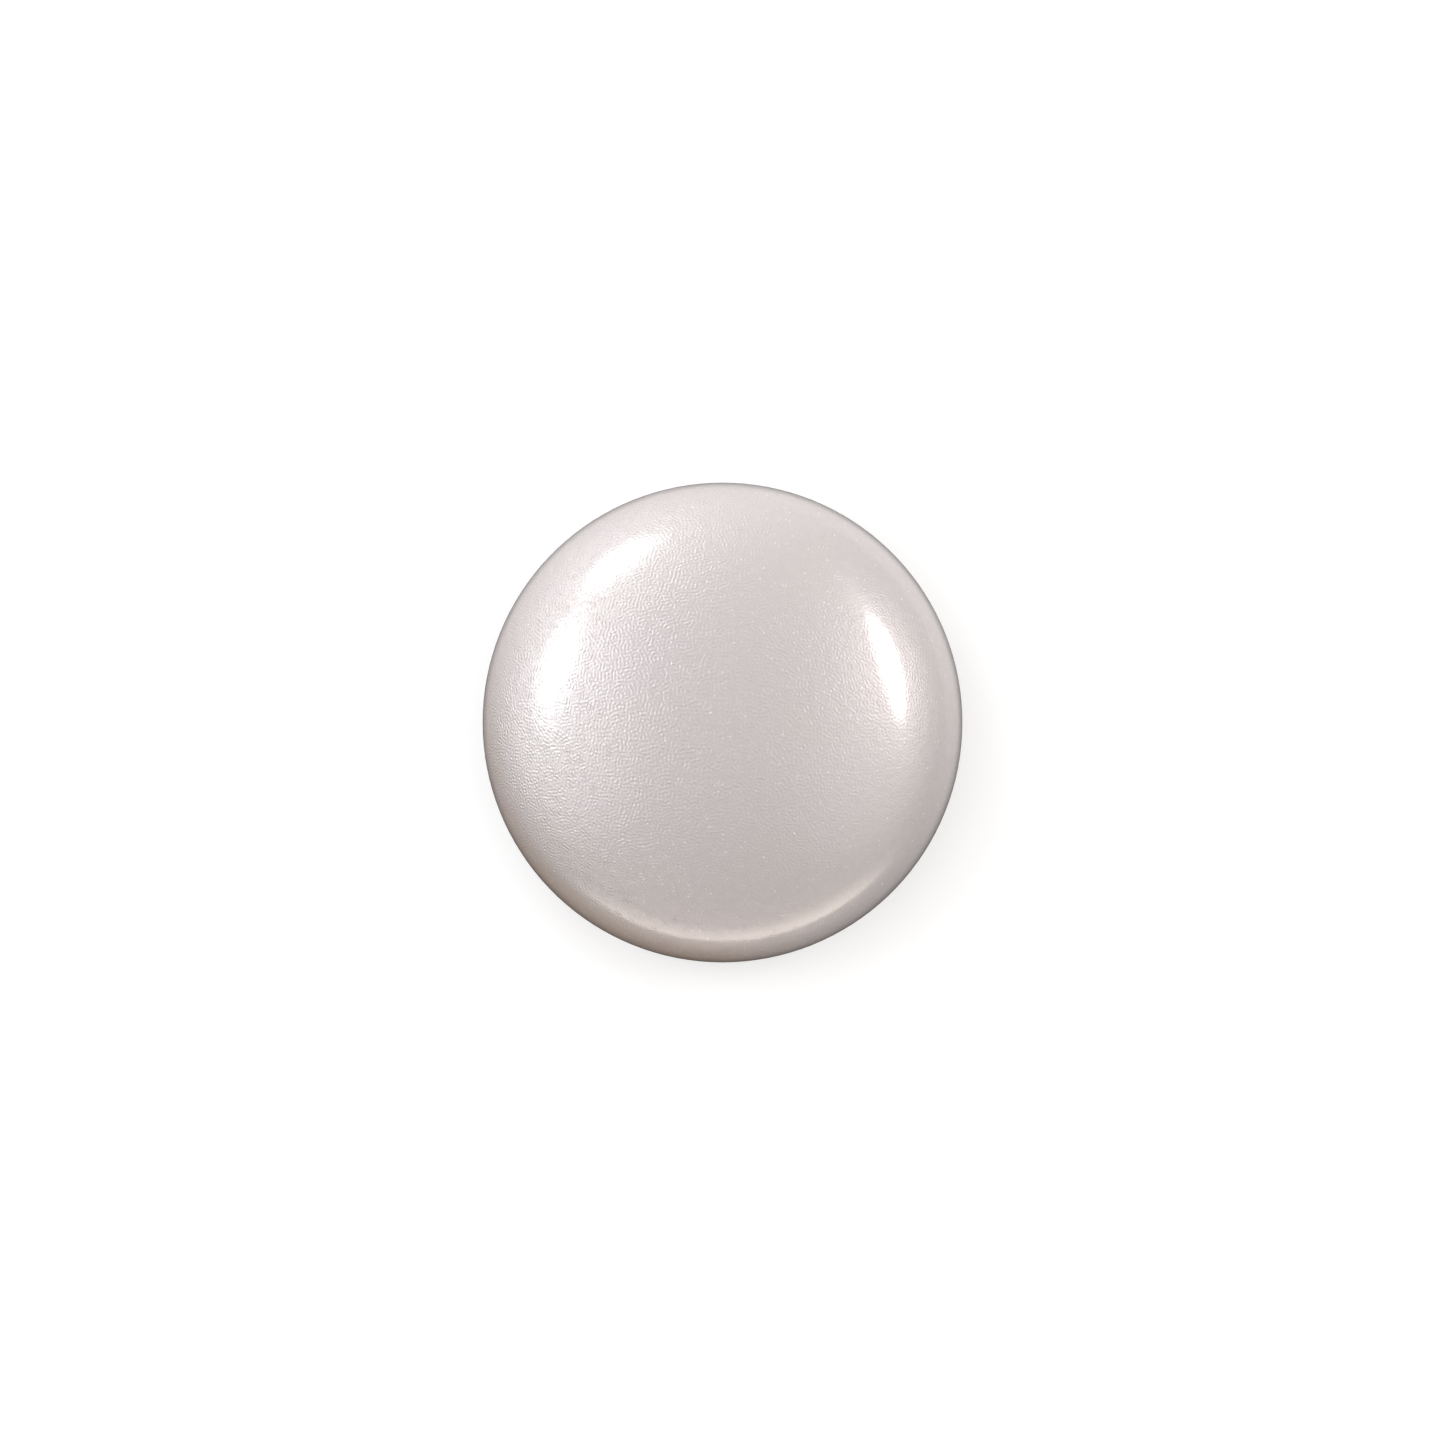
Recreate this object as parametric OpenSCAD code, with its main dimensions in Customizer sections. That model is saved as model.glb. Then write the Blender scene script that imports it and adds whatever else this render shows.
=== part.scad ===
// Weighted dealer button, 50 mm class.
// A pearl-lacquered domed cap is screwed to a moulded base shell. A steel slug between the two
// gives the button its heft, a foam pad keeps the slug quiet, and a grip pad hides the screws.
// Millimetres, +Z up. Origin: centre of the grip pad's face, which rests on the table.

/* [Button] */
// Diameter at the widest line
button_d = 50; // [48:1:60]
// Height from the table to the crown
button_h = 15; // [14.5:0.5:17]
// Height of the widest line above the table
equator_z = 5; // [4.75:0.25:5.5]

/* [Shells] */
// Wall of the domed cap
cap_wall = 2; // [1.8:0.1:2.2]
// Floor of the base shell above the grip pad's recess
floor_wall = 1.8; // [1.6:0.1:2]
// Wall of the lip that locates the cap on the base
lip_wall = 1.2; // [1:0.1:1.4]
// Gap between the lip and the cap's skirt
lip_gap = 0.15; // [0.1:0.05:0.2]
// Depth of the V groove along the seam
seam_groove = 0.25; // [0.15:0.05:0.35]

/* [Weight] */
// Thickness of the steel slug
slug_t = 5; // [4.5:0.25:5]
// Thickness of the tape that holds the slug down
slug_tape_t = 0.2; // [0.1:0.05:0.3]
// Thickness of the foam pad on the slug, as pressed
foam_t = 2.5; // [2:0.25:2.75]

/* [Screws] */
// Number of screws that hold the shells together
screw_count = 3; // [3:1:4]
// Thread diameter of a screw
screw_d = 2.2; // [2:0.1:2.4]
// Length of a screw below its head
screw_l = 7; // [6:0.5:7]
// Diameter of the cap's screw bosses
boss_d = 5.2; // [5:0.1:5.6]

/* [Grip pad] */
// Height that the grip pad stands proud of the base
pad_proud = 0.4; // [0.3:0.1:0.6]
// Thickness of the grip pad
pad_t = 1.05; // [0.95:0.05:1.25]
// Thickness of the adhesive film on the grip pad
film_t = 0.15; // [0.1:0.05:0.2]
// Number of round grooves in the grip pad
pad_grooves = 4; // [2:1:5]

/* [Hidden] */
$fn = 96;

pearl_white = [0.83, 0.80, 0.79];
satin_white = [0.86, 0.84, 0.82];
zinc_grey = [0.62, 0.64, 0.66];
foam_black = [0.16, 0.16, 0.17];
tape_white = [0.90, 0.90, 0.86];
rubber_grey = [0.24, 0.24, 0.25];
film_amber = [0.80, 0.74, 0.56];

eps = 0.01;

// Outer outline: a half-ellipse dome, and below it a quarter-ellipse tuck whose curvature equals
// the dome's at the widest line, so that the rim rolls under the button without a break.
rim_r = button_d / 2;
crown_rise = button_h - equator_z;
tuck_drop = equator_z - pad_proud;
tuck_run = rim_r * pow(tuck_drop / crown_rise, 2);
flat_r = rim_r - tuck_run;

// Levels, from the table up
seam_step = 0.2;
lip_rise = 0.8;
recess_z = pad_t + film_t;
floor_z = recess_z + floor_wall;
seam_z = floor_z + seam_step;
lip_top_z = equator_z + lip_rise;
slug_z = floor_z + slug_tape_t;
foam_z = slug_z + slug_t;
press_z = foam_z + foam_t;

// Radii, from the rim in
skirt_relief = 0.25;
slug_space = 3.4;
boss_space = 5;
rim_land = 2.7;
pad_gap = 0.2;
film_gap = 0.3;
press_space = 2.4;
press_wall = 1.5;
seam_r = flat_r + tuck_run * sqrt(1 - pow((equator_z - seam_z) / tuck_drop, 2));
skirt_r = rim_r - cap_wall - skirt_relief;
lip_r = skirt_r - lip_gap;
lip_inner_r = lip_r - lip_wall;
slug_r = lip_inner_r - slug_space;
boss_orbit_r = slug_r - boss_space;
press_r = boss_orbit_r - boss_d / 2 - press_space;
foam_r = press_r + press_wall;
recess_r = flat_r - rim_land;
pad_r = recess_r - pad_gap;
film_r = pad_r - film_gap;

// Lip, keys and ribs
lip_chamfer = 0.35;
key_w = 1.5;
key_gap = 0.2;
key_rise = 1.5;
rib_w = 1.2;
rib_h = 2.4;
rib_gap = 0.1;
gusset_w = 1;
gusset_lift = 0.4;
key_turn = 180 / screw_count;
rib_turn = 90 / screw_count;

// Slug
slug_bevel = 0.4;
slug_hole_gap = 0.5;
slug_hole_r = boss_d / 2 + slug_hole_gap;
tape_r = boss_orbit_r - slug_hole_r - film_gap;

// Screws: head, thread of rings, blunt tip
head_r = screw_d / 2 + 0.95;
head_t = 0.9;
head_bevel = 0.45;
head_gap = 0.25;
head_sink = 0.1;
head_depth = head_t + head_sink;
seat_z = recess_z + head_depth;
thread_r = screw_d / 2;
core_r = thread_r - 0.25;
thread_pitch = 0.8;
thread_play = 0.02;
shank_gap = 0.1;
tip_l = 0.5;
cross_l = 2.3;
cross_w = 0.5;
cross_depth = 0.55;

// Grip pad
groove_r = 0.45;
groove_step = pad_r / (pad_grooves + 1);
pad_chamfer = 0.3;

// Children, once for each screw, turned by start degrees
module around(start = 0) {
    for (i = [0 : screw_count - 1])
        rotate(start + i * 360 / screw_count)
            children();
}

// Half-outline of the dome above the widest line, taken in by inset
module dome_outline(inset = 0) {
    run = rim_r - inset;
    rise = crown_rise - inset;
    translate([0, equator_z])
        intersection() {
            scale([1, rise / run]) circle(run);
            square([run, rise]);
        }
}

// Half-outline of the outside below the widest line
module tuck_outline() {
    translate([0, pad_proud]) square([flat_r, tuck_drop]);
    translate([flat_r, equator_z])
        intersection() {
            scale([1, tuck_drop / tuck_run]) circle(tuck_run);
            translate([0, -tuck_drop]) square([tuck_run, tuck_drop]);
        }
}

// Diamond that cuts the V groove along the seam
module seam_cut() {
    translate([seam_r, seam_z]) rotate(45) square(seam_groove * sqrt(2), center = true);
}

// Space within the cap, up to the middle of its wall
module cap_core() {
    rotate_extrude() dome_outline(cap_wall / 2);
}

// Half-outline of a screw's thread, standing on Z = 0, grown by extra
module thread_outline(extra = 0) {
    thread_l = screw_l - tip_l;
    ring = [[core_r, 0.1], [thread_r, 0.45], [thread_r, 0.55], [core_r, 0.9]];
    rings = [
        for (i = [0 : floor(thread_l / thread_pitch) - 1], p = ring)
            [p[0] + extra, (p[1] + i) * thread_pitch]
    ];
    shank = [[0, 0], [core_r + extra, 0]];
    tip = [[core_r + extra, thread_l], [core_r / 2, screw_l + extra], [0, screw_l + extra]];
    polygon(concat(shank, rings, tip));
}

// Dome and skirt of the cap, open below
module cap_shell() {
    rotate_extrude()
        difference() {
            union() {
                dome_outline();
                intersection() {
                    tuck_outline();
                    translate([0, seam_z]) square([rim_r, equator_z - seam_z]);
                }
            }
            intersection() {
                union() {
                    dome_outline(cap_wall);
                    translate([0, seam_z - eps]) square([rim_r, equator_z - seam_z + 2 * eps]);
                }
                translate([0, seam_z - eps]) square([skirt_r, button_h]);
            }
            seam_cut();
        }
}

// Ring that presses on the foam
module press_ring() {
    translate([0, 0, press_z])
        difference() {
            cylinder(r = press_r, h = crown_rise);
            translate([0, 0, -eps]) cylinder(r = press_r - press_wall, h = crown_rise + 2 * eps);
        }
}

module screw_boss() {
    translate([boss_orbit_r, 0, floor_z])
        cylinder(d = boss_d, h = button_h - floor_z);
}

// Web between the press ring and a boss
module boss_gusset() {
    translate([press_r - press_wall / 2, -gusset_w / 2, press_z + gusset_lift])
        cube([boss_orbit_r - press_r, gusset_w, crown_rise]);
}

// Key inside the skirt that drops into a slot in the base's lip
module cap_key() {
    translate([skirt_r - lip_wall, -key_w / 2, seam_z + key_gap])
        cube([lip_wall + cap_wall / 2, key_w, lip_top_z + key_rise - seam_z - key_gap]);
}

module top_cap() {
    color(pearl_white)
        difference() {
            union() {
                cap_shell();
                intersection() {
                    cap_core();
                    union() {
                        press_ring();
                        around() boss_gusset();
                    }
                }
                intersection() {
                    union() {
                        cap_core();
                        cylinder(r = slug_r, h = equator_z + eps);
                    }
                    around() screw_boss();
                }
                around(key_turn) cap_key();
            }
            around()
                translate([boss_orbit_r, 0, seat_z])
                    rotate_extrude()
                        thread_outline(thread_play);
        }
}

// Half-outline of the base: rolled-under outside, recess for the grip pad, floor, locating lip
module base_outline() {
    difference() {
        union() {
            intersection() {
                tuck_outline();
                square([rim_r, seam_z]);
            }
            translate([lip_inner_r, floor_z - eps])
                square([lip_wall, lip_top_z - floor_z + eps]);
        }
        translate([0, -eps]) square([recess_r, recess_z + eps]);
        translate([0, floor_z]) square([lip_inner_r, seam_z]);
        translate([lip_r, lip_top_z]) rotate(45) square(lip_chamfer * sqrt(2), center = true);
        seam_cut();
    }
}

// Rib that keeps the slug centred
module slug_rib() {
    translate([slug_r + rib_gap, -rib_w / 2, floor_z - eps])
        cube([slug_space, rib_w, rib_h]);
}

module key_slot() {
    translate([lip_inner_r - eps, -key_w / 2 - key_gap, seam_z])
        cube([lip_wall + lip_gap, key_w + 2 * key_gap, lip_top_z]);
}

// Counterbore and clearance hole of a screw
module screw_passage() {
    translate([boss_orbit_r, 0, recess_z - eps]) {
        cylinder(r = head_r + head_gap, h = head_depth + eps);
        cylinder(r = thread_r + shank_gap, h = floor_wall + 1);
    }
}

module base_shell() {
    color(satin_white)
        difference() {
            union() {
                rotate_extrude() base_outline();
                around(rib_turn) slug_rib();
                around(-rib_turn) slug_rib();
            }
            around(key_turn) key_slot();
            around() screw_passage();
        }
}

// Bevelled steel slug with a clearance hole for each boss
module weight_slug() {
    color(zinc_grey)
        translate([0, 0, slug_z])
            difference() {
                rotate_extrude()
                    polygon([
                        [0, 0], [slug_r - slug_bevel, 0], [slug_r, slug_bevel],
                        [slug_r, slug_t - slug_bevel], [slug_r - slug_bevel, slug_t], [0, slug_t]
                    ]);
                around()
                    translate([boss_orbit_r, 0, -eps])
                        cylinder(r = slug_hole_r, h = slug_t + 2 * eps);
            }
}

module slug_tape() {
    color(tape_white)
        translate([0, 0, floor_z])
            cylinder(r = tape_r, h = slug_tape_t);
}

module damping_pad() {
    color(foam_black)
        translate([0, 0, foam_z])
            cylinder(r = foam_r, h = foam_t);
}

// Thread-forming screw, head down, with its seat on Z = 0
module screw() {
    difference() {
        union() {
            rotate_extrude()
                polygon([
                    [0, -head_t], [head_r - head_bevel, -head_t], [head_r, head_bevel - head_t],
                    [head_r, 0], [0, 0]
                ]);
            rotate_extrude() thread_outline();
        }
        for (turn = [0, 90])
            rotate(turn)
                translate([-cross_l / 2, -cross_w / 2, -head_t - eps])
                    cube([cross_l, cross_w, cross_depth + eps]);
    }
}

module shell_screws() {
    color(zinc_grey)
        around()
            translate([boss_orbit_r, 0, seat_z])
                screw();
}

// Rubber disc with round grooves in its face
module grip_pad() {
    color(rubber_grey)
        rotate_extrude()
            difference() {
                polygon([
                    [0, 0], [pad_r - pad_chamfer, 0], [pad_r, pad_chamfer], [pad_r, pad_t], [0, pad_t]
                ]);
                for (i = [1 : pad_grooves])
                    translate([i * groove_step, 0]) circle(groove_r);
            }
}

module pad_film() {
    color(film_amber)
        translate([0, 0, pad_t])
            cylinder(r = film_r, h = film_t);
}

top_cap();
base_shell();
weight_slug();
slug_tape();
damping_pad();
shell_screws();
grip_pad();
pad_film();
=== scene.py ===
import math

import bpy
from mathutils import Matrix, Vector


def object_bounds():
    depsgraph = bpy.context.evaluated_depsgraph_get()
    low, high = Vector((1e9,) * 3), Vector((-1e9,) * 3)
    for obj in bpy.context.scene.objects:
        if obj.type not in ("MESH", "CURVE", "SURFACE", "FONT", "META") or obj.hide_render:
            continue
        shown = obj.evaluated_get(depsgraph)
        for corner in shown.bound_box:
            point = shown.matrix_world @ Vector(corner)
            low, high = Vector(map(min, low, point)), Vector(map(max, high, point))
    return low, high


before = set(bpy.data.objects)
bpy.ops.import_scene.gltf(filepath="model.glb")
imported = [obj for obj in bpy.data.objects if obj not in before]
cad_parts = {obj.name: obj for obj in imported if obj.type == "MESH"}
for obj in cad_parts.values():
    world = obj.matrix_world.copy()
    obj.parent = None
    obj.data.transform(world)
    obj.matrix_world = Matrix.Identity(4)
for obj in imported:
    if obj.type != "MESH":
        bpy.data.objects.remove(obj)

MM = 0.001
CAD_LOW, CAD_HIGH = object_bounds()
CENTRE = (CAD_LOW + CAD_HIGH) / 2
BUTTON_D = CAD_HIGH.x - CAD_LOW.x
WIDEST_Z = 0.005

# Camera: straight above the button, far enough for it to fill this share of the frame's width
FRAME_SHARE = 0.332
LENS = 100.0
SENSOR = 36.0
NEAREST = 0.01
FARTHEST = 20

# Pearl lacquer: patches of ripple, the strokes in each, the turns that the strokes' direction goes
# through from one patch of noise to another, and the depth of relief in pigment and clear coat
RIPPLE_SCALE = 1.1
RIPPLE_LINES = 2.0
RIPPLE_TURNS = 1.5
PIGMENT_RELIEF = 0.016 * MM
COAT_RELIEF = 0.004 * MM

# The ripple weakens from -X to +X, between these places in millimetres, and with it the highlights
# painted on its strokes
STRONG_SIDE = -14.0
WEAK_SIDE = 14.0
STRONG_RIPPLE = 1.8
WEAK_RIPPLE = 0.6

# Flakes: the cells that may hold one, and the draw from 0 to 1 above which a cell does
FLAKE_SCALE = 2.6
FLAKE_DRAW = 0.89

# Spacing of the cutter's marks on the turned slug, in millimetres
TOOL_PITCH = 0.25

# Softboxes: how far they stand from the button, and the two colours of light
LIGHT_DISTANCE = 0.6
WARM = (1.0, 0.965, 0.94)
COOL = (0.95, 0.965, 1.0)

# Surroundings: ambient strength at -Y and at +Y, the warm band, and the backdrop behind the floor
AMBIENT = (0.36, 0.94)
AMBIENT_COLOUR = (1.0, 0.985, 0.97)
BAND_STRENGTH = 2.7
BAND_COLOUR = (1.0, 0.90, 0.80)
BACKDROP_COLOUR = (0.86, 0.86, 0.86)

# Floor as the camera sees it: grey paper with a little light of its own, which lightens the shadow
FLOOR_HALF = 2.0
PAPER_COLOUR = (0.55, 0.55, 0.55, 1)
PAPER_GLOW = 0.50

# Floor as the dome reflects it, with painted light and shade: pale on the lit side around this
# azimuth, and painted shade on the other side, brown towards -X and grey towards +X. Up to
# SHADE_INNER from the middle, in the button's shade, it keeps SHADED_SHARE of its tone, and from
# SHADE_OUTER on all of it.
# Both distances are in button diameters.
LIT_AZIMUTH = 80
LIT_SIDE_FLOOR = (0.98, 0.975, 0.97, 1)
SHADED_BROWN_FLOOR = (0.15, 0.075, 0.005, 1)
SHADED_GREY_FLOOR = (0.28, 0.275, 0.29, 1)
BLACK = (0, 0, 0, 1)
SHADED_SHARE = 0.15
SHADE_INNER = 0.52
SHADE_OUTER = 0.78


def linear(red, green, blue):
    """A colour given in display values from 0 to 1, as the linear values that shaders take."""
    def channel(value):
        return value / 12.92 if value <= 0.04045 else ((value + 0.055) / 1.055) ** 2.4
    return (channel(red), channel(green), channel(blue), 1.0)


def direction(azimuth, polar):
    """Unit vector at that azimuth and polar angle."""
    around, down = math.radians(azimuth), math.radians(polar)
    reach = math.sin(down)
    return Vector((math.cos(around) * reach, math.sin(around) * reach, math.cos(down)))


class Shading:
    """The node tree of a material, a light or the world, built one node at a time."""

    def __init__(self, name, owner=None):
        owner = owner or bpy.data.materials.new(name)
        owner.use_nodes = True
        self.owner = owner
        self.tree = owner.node_tree

    def feed(self, socket, value):
        """Links a socket to the input, or sets the input to a constant."""
        if isinstance(value, bpy.types.NodeSocket):
            self.tree.links.new(value, socket)
        else:
            socket.default_value = value

    def node(self, kind, settings=None, **inputs):
        """A node of that kind. An input is named by its label, or by its number as in i0."""
        node = self.tree.nodes.new("ShaderNode" + kind)
        for key, value in (settings or {}).items():
            setattr(node, key, value)
        for key, value in inputs.items():
            self.feed(node.inputs[int(key[1:])] if key[1:].isdigit() else node.inputs[key], value)
        return node

    def math(self, operation, first, second):
        return self.node("Math", {"operation": operation}, i0=first, i1=second).outputs[0]

    def add(self, first, second):
        return self.math("ADD", first, second)

    def subtract(self, first, second):
        return self.math("SUBTRACT", first, second)

    def times(self, first, second):
        return self.math("MULTIPLY", first, second)

    def axes(self, vector):
        """The X, Y and Z of a vector."""
        return tuple(self.node("SeparateXYZ", None, Vector=vector).outputs)

    def length(self, vector):
        return self.node("VectorMath", {"operation": "LENGTH"}, i0=vector).outputs["Value"]

    def along(self, vector, fixed):
        """Dot product of a vector and a fixed one."""
        settings = {"operation": "DOT_PRODUCT"}
        return self.node("VectorMath", settings, i0=vector, i1=tuple(fixed)).outputs["Value"]

    def place(self, stretch=(1, 1, 1)):
        """The point being shaded in the CAD frame, in millimetres, times stretch."""
        point = self.node("TexCoord").outputs["Object"]
        scale = tuple(share / MM for share in stretch)
        return self.node("VectorMath", {"operation": "MULTIPLY"}, i0=point, i1=scale).outputs[0]

    def vector(self, x, y, z):
        return self.node("CombineXYZ", None, X=x, Y=y, Z=z).outputs[0]

    def unrolled(self, place):
        """The dome's skin laid flat around its crown: XY stretched by the fall from the crown.
        Half a millimetre on the radius keeps it finite at the crown itself."""
        x, y, z = self.axes(place)
        flat = self.vector(x, y, 0.0)
        fall = self.subtract(CAD_HIGH.z / MM, z)
        stretch = self.add(1.0, self.math("DIVIDE", fall, self.add(self.length(flat), 0.5)))
        return self.node("VectorMath", {"operation": "SCALE"}, i0=flat, Scale=stretch).outputs[0]

    def noise(self, place, scale=1.0, detail=2.0, roughness=0.5, distortion=0.0):
        node = self.node("TexNoise", None, Vector=place, Scale=scale, Detail=detail,
                         Roughness=roughness, Distortion=distortion)
        return node.outputs["Fac"]

    def cells(self, place, scale, feature="F1"):
        """Cells around scattered points. Distance is to the point, or to the edge if so asked."""
        return self.node("TexVoronoi", {"feature": feature}, Vector=place, Scale=scale)

    def remap(self, value, low, high, to_low=0.0, to_high=1.0, smooth=True):
        settings = {"interpolation_type": "SMOOTHSTEP" if smooth else "LINEAR", "clamp": True}
        node = self.node("MapRange", settings, i0=value, i1=low, i2=high, i3=to_low, i4=to_high)
        return node.outputs[0]

    def mix(self, share, first, second):
        return self.node("Mix", {"data_type": "RGBA"}, i0=share, i6=first, i7=second).outputs[2]

    def bump(self, height, distance):
        """A bump whose height input of 1 stands for distance in metres."""
        node = self.node("Bump", None, Height=height, Distance=distance, Strength=1.0)
        return node.outputs["Normal"]

    def surface(self, **values):
        """Sets the Principled shader's inputs, with _ for a space in each name."""
        shader = self.tree.nodes["Principled BSDF"]
        for key, value in values.items():
            self.feed(shader.inputs[key.replace("_", " ")], value)
        return self.owner

    def glow(self, colour, strength):
        """World light of that colour and strength."""
        return self.node("Background", None, Color=(*colour, 1.0), Strength=strength).outputs[0]

    def together(self, first, *others):
        """The light of those shaders, added up."""
        total = first
        for other in others:
            total = self.node("AddShader", None, i0=total, i1=other).outputs[0]
        return total

    def for_camera(self, others, camera):
        """One shader for what the camera sees directly, and another for all other rays."""
        seen = self.node("LightPath").outputs["Is Camera Ray"]
        return self.node("MixShader", None, i0=seen, i1=others, i2=camera).outputs[0]


def lacquer_ripple(s, place):
    """Relief of the pigment: strokes that turn slowly, like a fingerprint's lines, and bumps."""
    patches = s.noise(place, scale=0.4, detail=1.0)
    turning = s.remap(patches, 0.3, 0.7, 0.0, RIPPLE_TURNS * 2 * math.pi, smooth=False)
    strokes = s.node("TexGabor", {"gabor_type": "2D"}, Vector=s.unrolled(place),
                     Scale=RIPPLE_SCALE, Frequency=RIPPLE_LINES, Anisotropy=0.15, i5=turning)
    fine = s.remap(strokes.outputs["Value"], 0.2, 0.8, -1.0, 1.0, smooth=False)
    coarse = s.remap(s.noise(place, scale=1.5, detail=1.0), 0.25, 0.75, -0.5, 0.5, smooth=False)
    across = s.axes(place)[0]
    strength = s.remap(across, STRONG_SIDE, WEAK_SIDE, STRONG_RIPPLE, WEAK_RIPPLE, smooth=False)
    return s.add(s.times(fine, strength), coarse)


def lacquer_flakes(s, place):
    """Bright specks, each in a cell of its own, in about one cell in nine: pearl flakes, painted
    near white as painted glints.
    """
    cells = s.cells(place, scale=FLAKE_SCALE)
    draw = s.node("SeparateColor", None, Color=cells.outputs["Color"]).outputs[0]
    brightness = s.remap(draw, FLAKE_DRAW, 1.0, 0.25, 1.0, smooth=False)
    chosen = s.times(brightness, s.math("GREATER_THAN", draw, FLAKE_DRAW))
    speck = s.remap(cells.outputs["Distance"], 0.06, 0.34, 1.0, 0.0)
    return s.times(chosen, speck)


def pearl_lacquer():
    """White pearl paint under a clear gloss coat: ripple, flakes and faint clouding, with painted
    highlights on the ripple's strokes and painted glints on the flakes.
    """
    s = Shading("pearl_lacquer")
    place = s.place()
    ripple = lacquer_ripple(s, place)
    flake_and_glint = lacquer_flakes(s, place)

    # Clouding: a rosier and a warmer tint, many millimetres across
    cloud = s.remap(s.noise(place, scale=0.09), 0.35, 0.65)
    tint = s.mix(cloud, linear(0.740, 0.707, 0.708), linear(0.737, 0.708, 0.702))
    # Painted glints: the flakes painted near white in the base colour
    flake_glint_colour = s.mix(s.times(flake_and_glint, 0.62), tint, linear(1.0, 0.99, 0.98))
    # Painted highlights: the ripple's strokes painted lighter, for light caught on the relief,
    # stronger at -X
    stroke_highlight = s.remap(ripple, -1.5, 1.5, 0.0, 0.17, smooth=False)
    colour = s.mix(stroke_highlight, flake_glint_colour, linear(0.97, 0.96, 0.96))

    grain = s.noise(place, scale=6.0)
    rough = s.subtract(s.remap(grain, 0.3, 0.7, 0.37, 0.43), s.times(flake_and_glint, 0.06))
    pigment = s.bump(s.add(ripple, s.times(flake_and_glint, 0.8)), PIGMENT_RELIEF)
    swell = s.noise(place, scale=0.35, detail=1.0)
    peel = s.bump(s.add(swell, s.times(ripple, 0.4)), COAT_RELIEF)
    return s.surface(
        Base_Color=colour, Metallic=0.35, Roughness=rough, IOR=2.0, Normal=pigment,
        Coat_Weight=1.0, Coat_Roughness=0.06, Coat_IOR=1.7, Coat_Normal=peel)


def satin_shell():
    """Moulded white ABS: spark-eroded grain, flow marks, and darkening and scuffs near the table.
    """
    s = Shading("satin_shell")
    place = s.place()
    grain = s.noise(place, scale=5.0, detail=3.0, roughness=0.6)
    pits = s.cells(place, scale=4.0).outputs["Distance"]
    flow = s.noise(s.place(stretch=(0.3, 0.3, 2.5)), scale=0.5, distortion=0.8)
    flowed = s.remap(flow, 0.35, 0.65)
    tint = s.mix(flowed, linear(0.865, 0.848, 0.826), linear(0.895, 0.880, 0.862))

    # Darker towards the table side, in patches
    low_down = s.remap(s.axes(place)[2], 0.4, 2.4, 1.0, 0.0)
    patches = s.remap(s.noise(place, scale=0.8, detail=4.0, roughness=0.65), 0.40, 0.70)
    low_darkening = s.times(s.times(low_down, patches), 0.16)
    darkened_low = s.mix(low_darkening, tint, linear(0.60, 0.565, 0.52))

    # Scuffs: short marks, nearly level, from sliding and knocking about
    streaks = s.noise(s.place(stretch=(0.5, 0.5, 9.0)), scale=1.1, distortion=0.3)
    scuff = s.times(s.remap(streaks, 0.62, 0.70), low_down)
    colour = s.mix(s.times(scuff, 0.5), darkened_low, linear(0.95, 0.945, 0.935))
    rough = s.add(s.remap(grain, 0.3, 0.7, 0.40, 0.52), s.times(scuff, 0.15))
    relief = s.subtract(s.add(grain, s.times(pits, 0.5)), scuff)
    return s.surface(
        Base_Color=colour, Roughness=rough, IOR=1.53, Subsurface_Weight=0.05,
        Subsurface_Scale=0.4 * MM, Normal=s.bump(relief, 0.010 * MM))


def slug_steel():
    """Turned, zinc-plated steel: concentric tool marks under a clouded blue-grey plating."""
    s = Shading("slug_steel")
    place = s.place()
    x, y, z = s.axes(place)
    radius = s.length(s.vector(x, y, 0.0))
    wander = s.times(s.noise(place, scale=0.12, detail=1.0), 0.6)
    turns = s.add(s.add(radius, z), wander)
    grooves = s.math("SINE", s.times(turns, 2 * math.pi / TOOL_PITCH), 0.0)
    uneven = s.noise(s.vector(turns, 0.0, 0.0), scale=2.0, detail=3.0)
    cloud = s.noise(place, scale=0.25, detail=3.0, distortion=0.6)
    plated = s.mix(s.remap(cloud, 0.35, 0.65), linear(0.74, 0.76, 0.79), linear(0.82, 0.81, 0.775))
    worn = s.mix(s.times(uneven, 0.25), plated, linear(0.62, 0.63, 0.65))
    rough = s.remap(s.add(cloud, s.times(uneven, 0.5)), 0.5, 1.0, 0.26, 0.44)
    relief = s.bump(s.add(s.times(grooves, 0.5), uneven), 0.008 * MM)
    return s.surface(Base_Color=worn, Metallic=1.0, Roughness=rough, Normal=relief)


def screw_steel():
    """Zinc-plated screws: fine drawn grain, with duller and yellower patches."""
    s = Shading("screw_steel")
    grain = s.noise(s.place(stretch=(1, 1, 0.15)), scale=9.0, detail=3.0)
    cloud = s.noise(s.place(), scale=1.2, detail=3.0, distortion=0.4)
    plated = s.mix(s.remap(cloud, 0.38, 0.62), linear(0.76, 0.77, 0.79), linear(0.80, 0.775, 0.70))
    colour = s.mix(s.times(grain, 0.3), plated, linear(0.55, 0.56, 0.58))
    rough = s.remap(cloud, 0.3, 0.7, 0.24, 0.42)
    relief = s.bump(grain, 0.004 * MM)
    return s.surface(Base_Color=colour, Metallic=1.0, Roughness=rough, Normal=relief)


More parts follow.
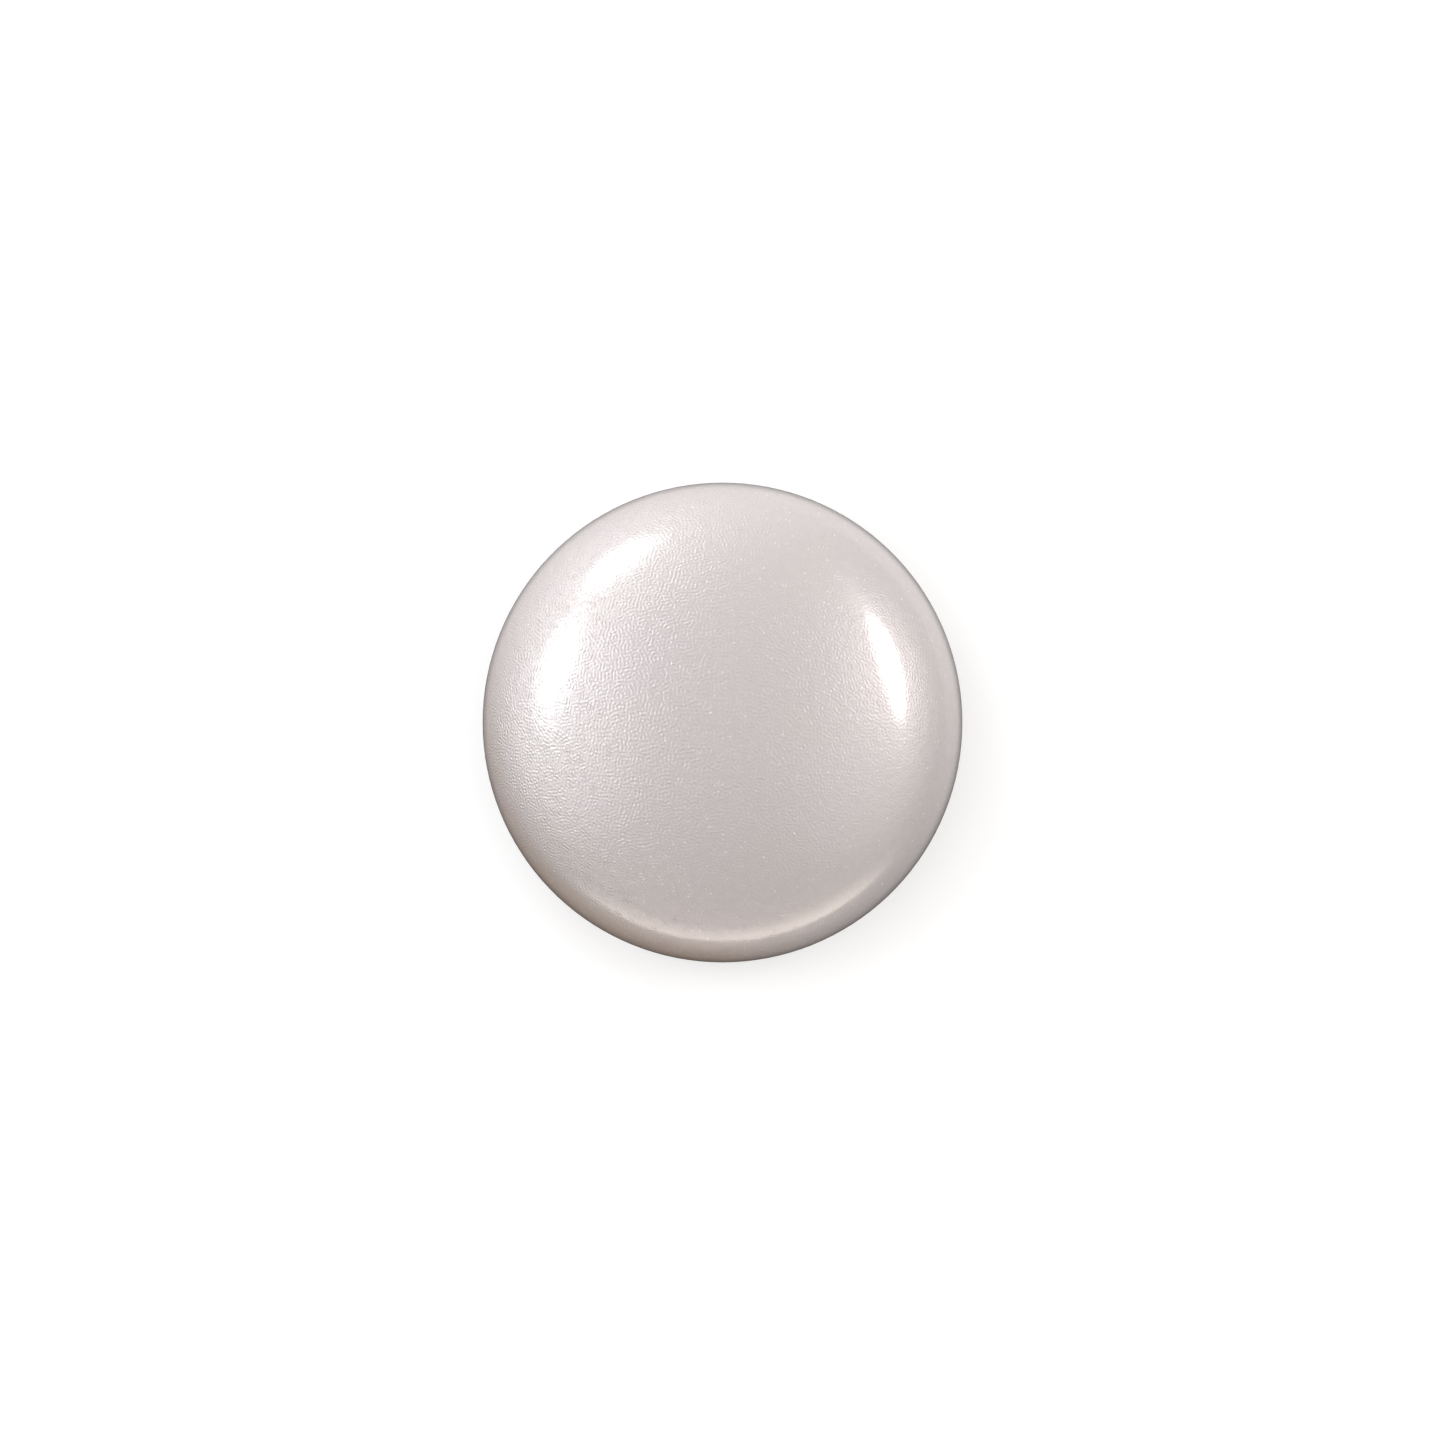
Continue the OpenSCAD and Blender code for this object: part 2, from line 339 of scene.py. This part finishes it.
def slug_tape():
    """Double-sided tissue tape: off-white fibres that cross in the adhesive."""
    s = Shading("slug_tape")
    lengthwise = s.noise(s.place(stretch=(0.25, 4.0, 1.0)), scale=1.6, detail=3.0, distortion=1.2)
    crosswise = s.noise(s.place(stretch=(4.0, 0.25, 1.0)), scale=1.6, detail=3.0, distortion=1.2)
    fibres = s.remap(s.math("MAXIMUM", lengthwise, crosswise), 0.45, 0.75)
    wet = s.noise(s.place(), scale=0.5)
    ground = s.mix(wet, linear(0.86, 0.84, 0.76), linear(0.91, 0.90, 0.85))
    colour = s.mix(fibres, ground, linear(0.97, 0.965, 0.94))
    rough = s.remap(fibres, 0.0, 1.0, 0.45, 0.85)
    return s.surface(Base_Color=colour, Roughness=rough, Normal=s.bump(fibres, 0.02 * MM))


def eva_foam():
    """Closed-cell foam: cells of two sizes, the hollows of the larger ones painted darker than the
    raised walls between them, as painted shade.
    """
    s = Shading("foam")
    place = s.place()
    to_edge = s.cells(place, scale=2.6, feature="DISTANCE_TO_EDGE").outputs["Distance"]
    wall = s.remap(to_edge, 0.02, 0.16, 1.0, 0.0)
    fine = s.cells(place, scale=7.0).outputs["Distance"]
    shade = s.mix(s.noise(place, scale=0.6), linear(0.14, 0.14, 0.15), linear(0.20, 0.20, 0.205))
    # Painted shade: the cells' hollows darker, the raised walls between them lighter
    colour = s.mix(s.times(wall, 0.6), shade, linear(0.34, 0.34, 0.345))
    rough = s.remap(fine, 0.1, 0.6, 0.75, 0.95)
    relief = s.bump(s.subtract(wall, s.times(fine, 0.3)), 0.05 * MM)
    return s.surface(Base_Color=colour, Roughness=rough, Sheen_Weight=0.2, Normal=relief)


def grip_rubber():
    """Dark moulded rubber: fine stipple, lint and table dust, and a rubbed sheen in patches."""
    s = Shading("grip_rubber")
    place = s.place()
    batch = s.noise(place, scale=0.15)
    rubber = s.mix(batch, linear(0.205, 0.205, 0.215), linear(0.27, 0.265, 0.265))
    dust = s.noise(place, scale=0.35, detail=5.0, roughness=0.7, distortion=0.5)
    haze = s.times(s.remap(dust, 0.46, 0.72), 0.16)
    dusty = s.mix(haze, rubber, linear(0.52, 0.50, 0.47))
    lint = s.remap(s.cells(place, scale=0.9).outputs["Distance"], 0.05, 0.09, 1.0, 0.0)
    colour = s.mix(s.times(lint, 0.6), dusty, linear(0.72, 0.70, 0.66))

    grain = s.noise(place, scale=7.0, detail=3.0)
    rubbed = s.remap(s.noise(place, scale=0.25), 0.45, 0.65)
    rough = s.subtract(s.remap(grain, 0.3, 0.7, 0.70, 0.86), s.times(rubbed, 0.18))
    stipple = s.cells(place, scale=3.2, feature="SMOOTH_F1").outputs["Distance"]
    relief = s.bump(s.add(s.times(grain, 0.4), stipple), 0.04 * MM)
    return s.surface(Base_Color=colour, Roughness=rough, IOR=1.52, Normal=relief)


def adhesive_film():
    """Amber adhesive film: trapped bubbles and a wavy, tacky skin."""
    s = Shading("adhesive_film")
    place = s.place()
    bubble = s.remap(s.cells(place, scale=1.4).outputs["Distance"], 0.12, 0.20, 1.0, 0.0)
    waves = s.noise(place, scale=0.7, distortion=1.0)
    amber = s.mix(waves, linear(0.74, 0.66, 0.45), linear(0.85, 0.80, 0.63))
    colour = s.mix(s.times(bubble, 0.5), amber, linear(0.93, 0.90, 0.80))
    rough = s.remap(waves, 0.3, 0.7, 0.22, 0.42)
    relief = s.bump(s.subtract(waves, s.times(bubble, 0.6)), 0.02 * MM)
    return s.surface(Base_Color=colour, Roughness=rough, IOR=1.47, Normal=relief)


def paint(node, material):
    """Gives a CAD node its finish."""
    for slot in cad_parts[node].material_slots:
        slot.material = material


def softbox(name, azimuth, polar, width, height, roll, radiance, colour, core):
    """An oval light that faces the button, and fades to its edge from a core that is a share of
    its size. Width and height are in metres. Width lies along the horizon until roll turns it."""
    light = bpy.data.lights.new(name, "AREA")
    light.shape = "RECTANGLE"
    light.size, light.size_y = width, height
    light.energy = radiance * width * height * math.pi
    light.color = colour

    s = Shading(name, light)
    spot = s.node("NewGeometry").outputs["Parametric"]
    middle = (0.5, 0.5, 0.0)
    offset = s.node("VectorMath", {"operation": "DISTANCE"}, i0=spot, i1=middle).outputs["Value"]
    fade = s.remap(offset, core / 2, 0.5, 1.0, 0.0)
    s.feed(s.tree.nodes["Emission"].inputs["Strength"], fade)

    out = direction(azimuth, polar)
    x_axis = Matrix.Rotation(math.radians(roll), 3, out) @ direction(azimuth + 90, 90)
    turned = Matrix((x_axis, out.cross(x_axis), out)).transposed().to_4x4()
    lamp = bpy.data.objects.new(name, light)
    bpy.context.scene.collection.objects.link(lamp)
    lamp.matrix_world = Matrix.Translation(CENTRE + out * LIGHT_DISTANCE) @ turned


def studio_lights():
    softbox("upper_left_box", azimuth=123, polar=58.2, width=0.395, height=0.265, roll=15,
            radiance=5.8, colour=COOL, core=0.2)
    softbox("left_box", azimuth=162.5, polar=48.8, width=0.435, height=0.26, roll=6,
            radiance=5.8, colour=COOL, core=0.25)
    softbox("right_box", azimuth=19, polar=49.8, width=0.365, height=0.15, roll=-6,
            radiance=6.3, colour=WARM, core=0.6)
    softbox("right_halo", azimuth=20, polar=50, width=0.80, height=0.20, roll=-3,
            radiance=1.35, colour=WARM, core=0.0)


def warm_band(s, out):
    """A bright band above the horizon at -Y, which gives the crescent along the dome's rim."""
    x, y, up = s.axes(out)
    height = s.times(s.remap(up, 0.09, 0.14), s.remap(up, 0.16, 0.44, 1.0, 0.0))
    front = s.remap(s.add(y, s.times(x, -0.06)), -0.60, -0.90)
    return s.glow(BAND_COLOUR, s.times(height, s.times(front, BAND_STRENGTH)))


def wide_glow(s, out, azimuth, polar, spread, radiance, colour):
    """A round glow that fades to nothing at spread degrees from its middle."""
    near = s.along(out, direction(azimuth, polar))
    strength = s.remap(near, math.cos(math.radians(spread)), 1.0, 0.0, radiance)
    return s.glow(colour, strength)


def studio_world():
    """Soft ambient light, brighter towards +Y, with a warm band, and wide glows behind the
    softboxes. The camera itself sees a plain pale backdrop."""
    world = bpy.data.worlds.new("studio")
    bpy.context.scene.world = world
    s = Shading("studio", world)
    out = s.node("TexCoord").outputs["Generated"]
    ambient = s.remap(s.axes(out)[1], -1.0, 1.0, *AMBIENT, smooth=False)
    surroundings = s.together(
        s.glow(AMBIENT_COLOUR, ambient),
        warm_band(s, out),
        wide_glow(s, out, azimuth=184, polar=46, spread=35, radiance=0.86, colour=COOL),
        wide_glow(s, out, azimuth=-14, polar=43, spread=33, radiance=0.45, colour=WARM),
        wide_glow(s, out, azimuth=116, polar=88, spread=66, radiance=0.38, colour=COOL))
    mixed = s.for_camera(surroundings, s.glow(BACKDROP_COLOUR, 1.0))
    s.feed(s.tree.nodes["World Output"].inputs["Surface"], mixed)


def floor_paper():
    """Plain pale paper for the camera, and for all other rays a floor with painted light and
    shade: pale on its lit side, dark on the other side and near the button.
    """
    s = Shading("floor_paper")
    place = s.node("TexCoord").outputs["Object"]
    away = s.node("VectorMath", {"operation": "NORMALIZE"}, i0=place).outputs[0]
    # Painted light and shade: pale on the lit side, painted shade on the other
    lit_side = s.remap(s.along(away, direction(LIT_AZIMUTH, 90)), -0.85, 0.75)
    right = s.remap(s.axes(away)[0], -0.2, 0.6)
    tone = s.mix(lit_side, s.mix(right, SHADED_BROWN_FLOOR, SHADED_GREY_FLOOR), LIT_SIDE_FLOOR)
    inner, outer = BUTTON_D * SHADE_INNER, BUTTON_D * SHADE_OUTER
    lit = s.remap(s.length(place), inner, outer, SHADED_SHARE, 1.0)
    around = s.node("BsdfDiffuse", None, Color=s.mix(lit, BLACK, tone)).outputs[0]

    paper = s.node("BsdfDiffuse", None, Color=PAPER_COLOUR).outputs[0]
    lift = s.node("Emission", None, Color=(1, 1, 1, 1), Strength=PAPER_GLOW).outputs[0]
    mixed = s.for_camera(around, s.together(paper, lift))
    s.feed(s.tree.nodes["Material Output"].inputs["Surface"], mixed)
    return s.owner


def studio_floor():
    """Level floor under the grip pad."""
    signs = [(-1, -1), (1, -1), (1, 1), (-1, 1)]
    corners = [(x * FLOOR_HALF, y * FLOOR_HALF, 0) for x, y in signs]
    mesh = bpy.data.meshes.new("floor")
    mesh.from_pydata(corners, [], [(0, 1, 2, 3)])
    mesh.materials.append(floor_paper())
    floor = bpy.data.objects.new("floor", mesh)
    bpy.context.scene.collection.objects.link(floor)


def camera():
    """Looks straight down, as a camera does before it is turned, with +Y at the top."""
    data = bpy.data.cameras.new("camera")
    data.lens, data.sensor_width = LENS, SENSOR
    data.clip_start, data.clip_end = NEAREST, FARTHEST
    seen_width = BUTTON_D / FRAME_SHARE
    eye = bpy.data.objects.new("camera", data)
    eye.location = (CENTRE.x, CENTRE.y, WIDEST_Z + seen_width * LENS / SENSOR)
    bpy.context.scene.collection.objects.link(eye)
    bpy.context.scene.camera = eye


camera()
studio_world()
studio_lights()
studio_floor()
bpy.context.scene.view_settings.view_transform = "Standard"

paint("top_cap", pearl_lacquer())
paint("base_shell", satin_shell())
paint("weight_slug", slug_steel())
paint("slug_tape", slug_tape())
paint("damping_pad", eva_foam())
paint("shell_screws", screw_steel())
paint("grip_pad", grip_rubber())
paint("pad_film", adhesive_film())
